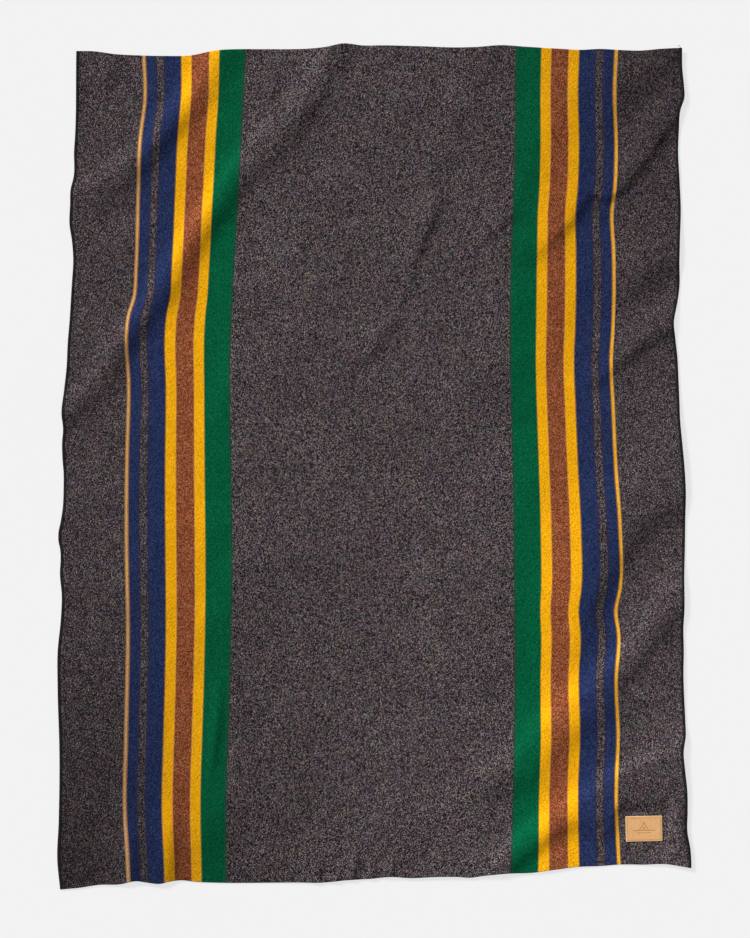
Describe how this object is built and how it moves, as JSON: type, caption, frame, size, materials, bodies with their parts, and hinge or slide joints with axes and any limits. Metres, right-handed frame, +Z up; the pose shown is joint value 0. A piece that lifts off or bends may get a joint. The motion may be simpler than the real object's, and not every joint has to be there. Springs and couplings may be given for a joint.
{
  "type": "camp blanket",
  "caption": "Rectangular striped wool camp blanket laid flat, with dark centre field, mirrored stripe groups, overlocked side edges and a leather patch near one corner.",
  "frame": {"origin": "centre of the blanket's underside, on the surface it lies on", "axes": "+X across the stripes towards the side with the leather patch, +Y along the stripes away from the patch, +Z up out of the face with the patch"},
  "size_m": [1.676, 2.286, 0.0047],
  "materials": {
    "wool_charcoal": "matte",
    "wool_gold": "matte",
    "wool_navy": "matte",
    "wool_brown": "matte",
    "wool_green": "matte",
    "cotton_warp": "matte",
    "overlock_thread": "matte",
    "leather_tan": "satin",
    "seam_thread": "satin"
  },
  "bodies": {
    "root": {"margin_left": "wool_charcoal", "gold_pinstripe_left": "wool_gold", "navy_outer_left": "wool_navy", "charcoal_pinstripe_left": "wool_charcoal", "navy_inner_left": "wool_navy", "gold_outer_left": "wool_gold", "brown_stripe_left": "wool_brown", "gold_inner_left": "wool_gold", "green_stripe_left": "wool_green", "upper_looper_thread_left": "overlock_thread", "lower_looper_thread_left": "overlock_thread", "overlock_needle_thread_left": "overlock_thread", "margin_right": "wool_charcoal", "gold_pinstripe_right": "wool_gold", "navy_outer_right": "wool_navy", "charcoal_pinstripe_right": "wool_charcoal", "navy_inner_right": "wool_navy", "gold_outer_right": "wool_gold", "brown_stripe_right": "wool_brown", "gold_inner_right": "wool_gold", "green_stripe_right": "wool_green", "upper_looper_thread_right": "overlock_thread", "lower_looper_thread_right": "overlock_thread", "overlock_needle_thread_right": "overlock_thread", "centre_field": "wool_charcoal", "cotton_warp": "cotton_warp", "leather_patch": "leather_tan", "patch_top_thread": "seam_thread", "patch_bobbin_thread": "seam_thread"}
  },
  "joints": []
}
